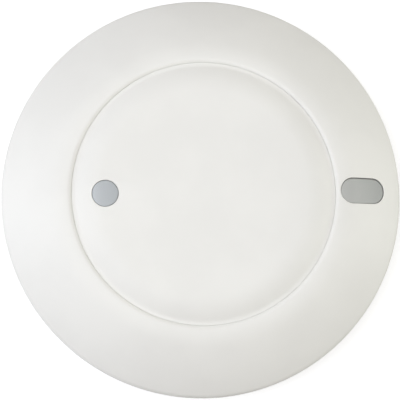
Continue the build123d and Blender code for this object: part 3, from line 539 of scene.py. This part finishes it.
# The shoulder, moved inwards by a depth, as points
def discPoints(depth, reverse=False):
    turns = [disc["shoulderTurn"] * share for share in sharesOf(disc["shoulderSteps"])]
    points = [arcPoint(shoulderCentre, disc["shoulderRound"] - depth, turn) for turn in turns]
    return points[::-1] if reverse else points


# Angles of a quarter turn in equal steps, for rounded edges
quarterTurns = [pi / 2 * share for share in sharesOf(5)]


# Loops that run inwards at one height, so that a flat top can follow a curved surface
def inwardLoops(radius, height):
    return [(radius * share, height) for share in (0.8, 0.6, 0.4, 0.2, 0.04)]


# Loops of a cap with a rounded top edge; its top and its foot lie that deep under a surface
def capLoops(radius, rounding, depth, foot):
    loops = [(radius, -foot)]
    for turn in quarterTurns:
        loops.append((radius - rounding + rounding * cos(turn), rounding * sin(turn) - rounding - depth))
    return loops + inwardLoops(radius, -depth)


# A cutter with the flared mouth that leaves a rounded edge in a curved surface
def mouthCutter(hole, radius, heightAt, halfRun=0.0):
    clear = 4.0
    rounding = hole["rounding"]
    loops = [(radius, -hole["deep"])]
    for turn in quarterTurns:
        loops.append((radius + rounding - rounding * cos(turn), rounding * sin(turn) - rounding))
    loops.append((radius + rounding, clear))
    cutter = stackedPiece("cutter", loops, halfRun, steps=96, runCuts=24)
    movedTo(cutter, hole["centre"])
    followSurface(cutter, heightAt)
    return cutter


# Trim ring

ringInside = {
    "foot": 1.6, "inner": 57.2, "sunk": 0.6, "ribs": 12, "firstRib": 15, "ribWidth": 1.2,
    "tabs": 3, "firstTab": 30, "tabWidth": 8.0, "tabThick": 1.2, "beadTop": 10.0, "beadHeight": 0.8,
    "beadReach": 0.15, "indexInner": 56.5, "indexWidth": 1.6, "indexAngle": 180,
}
keyHole = {"centre": 48.7, "length": 14.1, "width": 7.6, "gap": 0.15, "rounding": 0.15, "deep": 8.0}
keyRadius = keyHole["width"] / 2
keyRun = keyHole["length"] / 2 - keyRadius
ringBody = turnedPiece("trimRing", roundedOutline(
    (ring["lip"], ring["crestHeight"] - ring["wall"], ring["seatRound"]),
    *lipPoints(), *ringPoints(0, ring["side"]),
    (ring["side"] - ring["taper"], ring["foot"], ring["footRound"]),
    (ring["side"] - ring["wall"], ring["foot"], ring["footRound"]),
    *ringPoints(ring["wall"], ring["side"] - ring["wall"], True),
))
smoothByAngle(ringBody)
cutAway(ringBody, mouthCutter(keyHole, keyRadius + keyHole["gap"], ringHeight, keyRun))


# A block across the ring's inside, with its foot level and its top sunk into the wall
def blockUnderRing(name, inner, outer, width, angle):
    block = cubePiece(name, (outer - inner, width, 1.0), ((inner + outer) / 2, 0, 0), angle)
    for point in block.data.vertices:
        top = ringHeight(reachOf(point), ring["wall"] / 2)
        point.co.z = (ringInside["foot"] if point.co.z < 0 else top) * mm
    return block


inWall = ring["side"] - ring["wall"] + ringInside["sunk"]
tabOuter = ringInside["inner"] + ringInside["tabThick"]
beadSize = (2 * ringInside["beadReach"], ringInside["tabWidth"], ringInside["beadHeight"])
beadPlace = (ringInside["inner"], 0, ringInside["beadTop"] - ringInside["beadHeight"] / 2)
extras = [blockUnderRing("index", ringInside["indexInner"], inWall, ringInside["indexWidth"],
                         ringInside["indexAngle"])]
for i in range(ringInside["ribs"]):
    angle = ringInside["firstRib"] + i * 360 / ringInside["ribs"]
    extras.append(blockUnderRing("rib", ringInside["inner"], inWall, ringInside["ribWidth"], angle))
for i in range(ringInside["tabs"]):
    angle = ringInside["firstTab"] + i * 360 / ringInside["tabs"]
    extras.append(blockUnderRing("tab", ringInside["inner"], tabOuter, ringInside["tabWidth"], angle))
    extras.append(cubePiece("bead", beadSize, beadPlace, angle))
joined(ringBody, *extras)
smoothByAngle(ringBody)
finishPiece(ringBody, "ring", "white_shell", "trim_ring")
print("trim ring made")


# Test key on the ring, a little off the middle of its hole

keyShape = {
    "depth": 0.3, "rounding": 0.25, "offX": -0.06, "offY": -0.08, "flangeTop": 2.1, "flangeThick": 0.8,
    "flangeSide": 0.9, "flangeEnd": 0.35, "sunk": 0.3, "stemX": 43.5, "stemRadius": 1.2, "stemTip": 1.05,
    "tipHeight": 0.15, "stemFoot": 17.25,
}
keyFoot = keyShape["flangeTop"] + keyShape["sunk"]
keyLoops = capLoops(keyRadius, keyShape["rounding"], keyShape["depth"], keyFoot)
keyCap = stackedPiece("testKey", keyLoops, keyRun, steps=96, runCuts=24)
flangeRadius = keyRadius + keyShape["flangeSide"]
flangeLoops = [(flangeRadius, -keyShape["flangeTop"] - keyShape["flangeThick"])]
flangeLoops.append((flangeRadius, -keyShape["flangeTop"]))
flangeLoops += inwardLoops(flangeRadius, -keyShape["flangeTop"])
flangeRun = keyRun + keyShape["flangeEnd"] - keyShape["flangeSide"]
keyFlange = stackedPiece("flange", flangeLoops, flangeRun, steps=96, runCuts=24)
for part in (keyCap, keyFlange):
    movedTo(part, keyHole["centre"] + keyShape["offX"], keyShape["offY"])
    followSurface(part, ringHeight)
keyStem = stackedPiece("stem", [
    (keyShape["stemTip"], keyShape["stemFoot"]),
    (keyShape["stemRadius"], keyShape["stemFoot"] + keyShape["tipHeight"]),
    (keyShape["stemRadius"], ringHeight(keyShape["stemX"] + keyShape["stemRadius"]) - keyFoot),
], steps=48)
movedTo(keyStem, keyShape["stemX"])
joined(keyCap, keyFlange, keyStem)
smoothByAngle(keyCap)
finishPiece(keyCap, "key", "key_grey", "test_key")
print("test key made")


# Front cover

cover = {
    "step": 38.5, "stepHeight": 20.487, "stepRound": 0.2, "hollowRound": 0.1, "flangeDepth": 2.4,
    "flangeWall": 1.4, "skirt": 57.0, "skirtWall": 1.2, "skirtFoot": 10.101, "skirtRound": 0.25,
    "wall": 1.8, "overTop": 26.0,
}
windowHole = {"centre": -29.8, "radius": 3.95, "gap": 0.08, "rounding": 0.12, "deep": 4.0}
keyWay = {"radius": 4.9, "halfRun": 2.7, "foot": 12.15}
dialHole = {"ring": 43, "angles": (150, 180, 210), "radius": 2.5, "foot": 13}
pocket = {
    "ring": 50.5, "angles": (45, 135, 225, 315), "outer": 3.4, "inner": 2.5, "shank": 1.3, "foot": 12.856,
    "footRound": 0.3, "floor": 14.056, "floorRound": 0.2, "top": 19.0, "nearTop": 18.9,
}
notch = {"size": (1.8, 2.0, 20.0), "place": (-57.0, 0, 18.0)}
insideDepth = cover["flangeDepth"] + cover["flangeWall"]
skirtInner = cover["skirt"] - cover["skirtWall"]
coverBody = turnedPiece("frontCover", roundedOutline(
    (0, disc["top"]), (disc["flat"] / 2, disc["top"]), *discPoints(0),
    (disc["channelCorner"], disc["channel"], disc["channelRound"]),
    (disc["seam"], disc["channel"], disc["seamRound"]),
    (disc["seam"], cover["stepHeight"]), (ring["crestStart"], cover["stepHeight"]),
    *ringPoints(cover["flangeDepth"], cover["skirt"]),
    (cover["skirt"], cover["skirtFoot"], cover["skirtRound"]),
    (skirtInner, cover["skirtFoot"], cover["skirtRound"]),
    *ringPoints(insideDepth, skirtInner, True),
    (cover["step"], ring["crestHeight"] - insideDepth, cover["stepRound"]),
    (cover["step"], discPoints(cover["wall"])[-1][1], cover["hollowRound"]),
    *discPoints(cover["wall"], True), (0, disc["top"] - cover["wall"]),
    closed=False,
), closed=False)
smoothByAngle(coverBody)
cutAway(coverBody, mouthCutter(windowHole, windowHole["radius"] + windowHole["gap"], discHeight))


# Cuts a round or obround way into the cover, from a height up through its top
def cutFromAbove(radius, foot, place, halfRun=0.0, steps=64):
    cutter = stackedPiece("cutter", [(radius, foot), (radius, cover["overTop"])], halfRun, steps)
    cutAway(coverBody, movedTo(cutter, *place))


def placeAt(radius, angle):
    return radius * cos(radians(angle)), radius * sin(radians(angle))


cutFromAbove(keyWay["radius"], keyWay["foot"], (keyHole["centre"], 0.0), keyWay["halfRun"], 96)
for angle in dialHole["angles"]:
    cutFromAbove(dialHole["radius"], dialHole["foot"], placeAt(dialHole["ring"], angle))
for angle in pocket["angles"]:
    place = placeAt(pocket["ring"], angle)
    cutFromAbove(pocket["outer"], pocket["floor"], place)
    cup = turnedPiece("cup", roundedOutline(
        (pocket["shank"], pocket["foot"]), (pocket["outer"], pocket["foot"], pocket["footRound"]),
        (pocket["outer"], pocket["top"]), (pocket["inner"], pocket["top"]),
        (pocket["inner"], pocket["floor"], pocket["floorRound"]), (pocket["shank"], pocket["floor"]),
    ), steps=64)
    movedTo(cup, *place)
    for point in cup.data.vertices:
        if point.co.z > pocket["nearTop"] * mm:
            point.co.z = ringHeight(reachOf(point), cover["flangeDepth"]) * mm
    joined(coverBody, cup)
cutAway(coverBody, cubePiece("notch", notch["size"], notch["place"]))
smoothByAngle(coverBody)
finishPiece(coverBody, "head", "white_shell", "front_cover")
print("front cover made")


# Light window

window = {
    "depth": 0.1, "rounding": 0.2, "foot": 2.0, "flange": 4.7, "flangeTop": 1.85, "flangeThick": 0.8,
    "flangeMiddle": 0.2, "guide": 2.6, "guideTip": 2.35, "tipHeight": 0.25, "guideFoot": 15.3,
    "guideTop": 22.0,
}
windowLoops = capLoops(windowHole["radius"], window["rounding"], window["depth"], window["foot"])
windowCap = stackedPiece("lightWindow", windowLoops, steps=96)
windowRim = stackedPiece("rim", [
    (window["flange"], -window["flangeTop"] - window["flangeThick"]),
    (window["flange"], -window["flangeTop"]), (window["flangeMiddle"], -window["flangeTop"]),
], steps=96)
for part in (windowCap, windowRim):
    movedTo(part, windowHole["centre"])
    followSurface(part, discHeight)
lightGuide = stackedPiece("lightGuide", [
    (window["guideTip"], window["guideFoot"]),
    (window["guide"], window["guideFoot"] + window["tipHeight"]), (window["guide"], window["guideTop"]),
])
movedTo(lightGuide, windowHole["centre"])
joined(windowCap, windowRim, lightGuide)
smoothByAngle(windowCap)
finishPiece(windowCap, "head", "smoked_window", "light_window")
print("light window made")


# Every other piece is a finished copy of its CAD node, with edges broken by a width in millimetres

plainEdge = 0.1
edgeWidths = {"ceiling_plate": 0.25, "head_chassis": 0.2, "terminal_block": 0.15, "output_relay": 0.25,
              "film_capacitor": 0.35, "radar_board": 0.06, "main_board": 0.1, "antenna_patches": 0.0,
              "small_parts": 0.08, "status_lights": 0.08, "contact_rails": 0.05, "contact_springs": 0.05,
              "clamp_springs": 0.05, "controller_chip": 0.03, "radio_board": 0.05, "light_sensor": 0.1}
slotOf = {entry["node"]: entry["material_slot"] for entry in frame["record"]["subparts"]}
made = {"trim_ring", "test_key", "front_cover", "light_window"}
for body, nodes in frame["record"]["behaviour"]["bodies"].items():
    for node in nodes:
        if node not in made:
            piece = refinedNode(node, edgeWidths.get(node, plainEdge))
            finishPiece(piece, body, slotOf[node], node)
print("inner pieces finished")


# Floor, lights and camera

# Where a ray looks at the floor it glows, fully white away from the piece, and takes its shadow near it.
# Lengths of the stage are in metres
floorLook = {
    "size": 6, "dark": 0.48, "light": 0.52, "specks": 60, "glow": 0.62, "whiteFrom": 0.25, "whiteTo": 0.9,
}


def grey(level):
    return level, level, level


deselectAll()
bpy.ops.mesh.primitive_plane_add(size=floorLook["size"])
floor = bpy.context.object
floor.name = "floor"
ground = Finish("white floor", Roughness=0.9, Emission_Strength=1.0)
ray = ground.add("ShaderNodeLightPath", {})
seen = ground.add("ShaderNodeMath", {"operation": "MAXIMUM"}, ray, ground.other(ray, "Is Glossy Ray"))
seen = ground.add("ShaderNodeMath", {"operation": "MAXIMUM"}, seen, ground.other(ray, "Is Transmission Ray"))
speck = ground.noise(floorLook["specks"])
ground.link("Base Color", ground.blend(speck, grey(floorLook["dark"]), grey(floorLook["light"])))
away = ground.add("ShaderNodeVectorMath", {"operation": "LENGTH"}, ground.place, output=1)
whiter = ground.step(away, floorLook["whiteFrom"], floorLook["whiteTo"])
glowing = ground.blend(whiter, grey(floorLook["glow"]), grey(1.0))
ground.link("Emission Color", ground.blend(seen, grey(0.0), glowing))
floor.data.materials.append(ground.material)


# A rectangular lamp that points at the middle of the piece
def areaLight(name, place, size, power, colour):
    middle = Vector((0, 0, 0.015))
    deselectAll()
    bpy.ops.object.light_add(type="AREA", location=place)
    light = bpy.context.object
    light.name = name
    light.data.shape = "RECTANGLE"
    light.data.size, light.data.size_y = size
    light.data.energy = power
    light.data.color = colour
    light.rotation_mode = "QUATERNION"
    light.rotation_quaternion = (middle - Vector(place)).to_track_quat("-Z", "Y")


areaLight("leftLight", (-0.7, 0.0, 0.55), (0.5, 1.4), 6.48, (0.852, 0.905, 1.0))
areaLight("frontLight", (-0.15, 0.0, 0.9), (0.5, 0.5), 3.242, (0.977, 0.992, 1.0))
areaLight("rightLight", (0.8, 0.0, 0.25), (0.4, 0.7), 3.293, (0.956, 1.0, 0.947))

# The surroundings light the piece softly, and are white where the camera sees them
around = {"colour": (1.0, 0.898, 0.807, 1), "strength": 0.245}
world = bpy.data.worlds.new("world")
bpy.context.scene.world = world
world.use_nodes = True
nodes, links = world.node_tree.nodes, world.node_tree.links
glow = nodes["Background"]
glow.inputs["Color"].default_value = around["colour"]
glow.inputs["Strength"].default_value = around["strength"]
paper = nodes.new("ShaderNodeBackground")
paper.inputs["Color"].default_value = (1, 1, 1, 1)
lightPath = nodes.new("ShaderNodeLightPath")
either = nodes.new("ShaderNodeMixShader")
links.new(lightPath.outputs["Is Camera Ray"], either.inputs["Fac"])
links.new(glow.outputs["Background"], either.inputs[1])
links.new(paper.outputs["Background"], either.inputs[2])
links.new(either.outputs["Shader"], nodes["World Output"].inputs["Surface"])

# The camera's heading is the sideways part of the line from its target towards it
view = {
    "target": (-0.00062, -0.0009, 0.0095), "heading": (-0.0601, -0.1085), "roll": -0.0218, "distance": 0.3737,
    "lens": 107.78, "sensor": 36, "nearest": 0.01, "farthest": 10,
}
back = Vector((*view["heading"], sqrt(1 - hypot(*view["heading"]) ** 2)))
sideways = Vector((0, 1, 0)).cross(back).normalized()
upwards = back.cross(sideways)
right = sideways * cos(view["roll"]) + upwards * sin(view["roll"])
top = back.cross(right)
deselectAll()
bpy.ops.object.camera_add()
camera = bpy.context.object
camera.name = "camera"
camera.rotation_mode = "QUATERNION"
camera.rotation_quaternion = Matrix((right, top, back)).transposed().to_quaternion()
camera.location = Vector(view["target"]) + back * view["distance"]
camera.data.lens = view["lens"]
camera.data.sensor_width = view["sensor"]
camera.data.clip_start = view["nearest"]
camera.data.clip_end = view["farthest"]
bpy.context.scene.camera = camera
bpy.context.scene.view_settings.view_transform = "Standard"
print("stage set")
